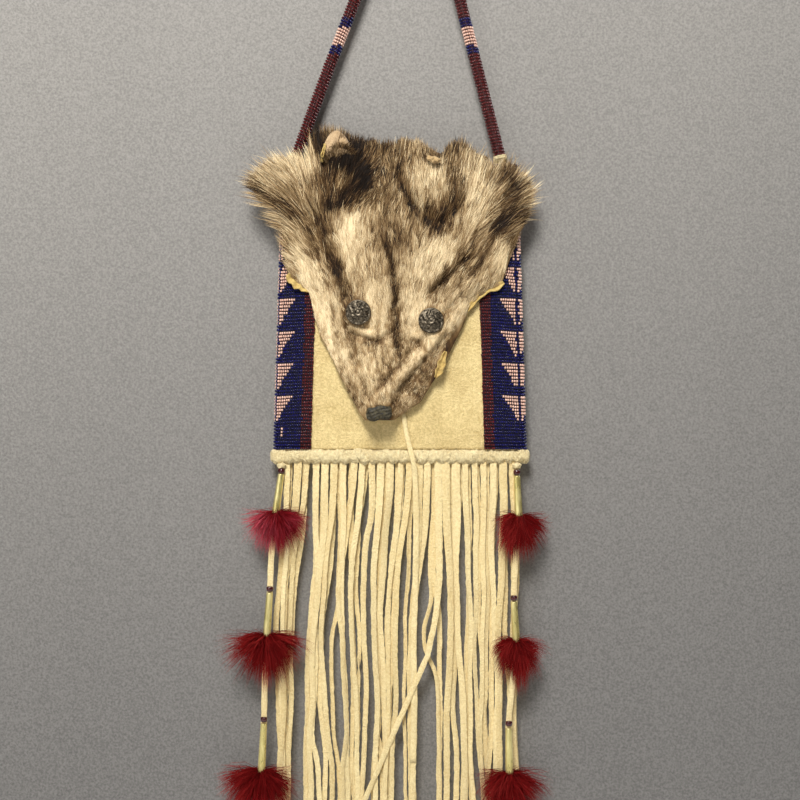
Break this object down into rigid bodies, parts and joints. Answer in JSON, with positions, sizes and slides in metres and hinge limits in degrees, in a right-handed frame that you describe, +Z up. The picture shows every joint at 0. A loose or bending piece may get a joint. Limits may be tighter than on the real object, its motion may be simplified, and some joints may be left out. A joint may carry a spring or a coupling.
{
  "type": "beaded medicine bag",
  "caption": "Flat buckskin pouch with beaded sides, a fur head flap, long cut fringe, side dangles and a beaded rope strap to hang or carry it by.",
  "frame": {"origin": "the peg's contact point, inside the top of the strap's loop", "axes": "+X to the right of the front, +Y to the back, +Z up; the front faces -Y"},
  "size_m": [0.2754, 0.033, 0.8195],
  "materials": {
    "buckskin": "suede",
    "navy_beads": "opaque glass beads",
    "oxblood_beads": "opaque glass beads",
    "pink_beads": "opaque glass beads",
    "fur": "fur on hide",
    "pewter": "dark embossed metal",
    "nose_leather": "wrinkled",
    "pale_brass": "satin",
    "red_fluff": "dyed down",
    "strap_beads": "opaque glass beads"
  },
  "bodies": {
    "bag": {"front_panel": "buckskin", "back_panel": "buckskin", "bottom_roll": "buckskin", "fringe_front": "buckskin", "fringe_back": "buckskin", "tie_thong": "buckskin", "strap_tab_left": "buckskin", "strap_tab_right": "buckskin", "beaded_strap": "strap_beads", "bead_field_left": "navy_beads", "bead_field_right": "navy_beads", "bead_stripe_front_left": "oxblood_beads", "bead_stripe_back_left": "oxblood_beads", "bead_stripe_front_right": "oxblood_beads", "bead_stripe_back_right": "oxblood_beads", "bead_triangle_left_1": "pink_beads", "bead_triangle_left_2": "pink_beads", "bead_triangle_left_3": "pink_beads", "bead_triangle_left_4": "pink_beads", "bead_triangle_left_5": "pink_beads", "bead_triangle_left_6": "pink_beads", "bead_triangle_left_7": "pink_beads", "bead_triangle_left_8": "pink_beads", "bead_triangle_right_1": "pink_beads", "bead_triangle_right_2": "pink_beads", "bead_triangle_right_3": "pink_beads", "bead_triangle_right_4": "pink_beads", "bead_triangle_right_5": "pink_beads", "bead_triangle_right_6": "pink_beads", "bead_triangle_right_7": "pink_beads", "bead_triangle_right_8": "pink_beads", "dangle_left_thong": "buckskin", "dangle_left_bead_1": "oxblood_beads", "dangle_left_bead_2": "oxblood_beads", "dangle_left_bead_3": "oxblood_beads", "dangle_left_cone_1": "pale_brass", "dangle_left_cone_2": "pale_brass", "dangle_left_cone_3": "pale_brass", "dangle_left_fluff_1": "red_fluff", "dangle_left_fluff_2": "red_fluff", "dangle_left_fluff_3": "red_fluff", "dangle_right_thong": "buckskin", "dangle_right_bead_1": "oxblood_beads", "dangle_right_bead_2": "oxblood_beads", "dangle_right_bead_3": "oxblood_beads", "dangle_right_cone_1": "pale_brass", "dangle_right_cone_2": "pale_brass", "dangle_right_cone_3": "pale_brass", "dangle_right_fluff_1": "red_fluff", "dangle_right_fluff_2": "red_fluff", "dangle_right_fluff_3": "red_fluff"},
    "flap": {"fur_flap": "fur", "button_left": "pewter", "button_right": "pewter", "nose_patch": "nose_leather"}
  },
  "joints": [
    {"name": "flap_lift", "type": "hinge", "parent": "bag", "child": "flap", "pos_m": [-0.0084, 0.0029, -0.2272], "axis": [-1, 0, 0], "range_deg": [0, 90]}
  ]
}
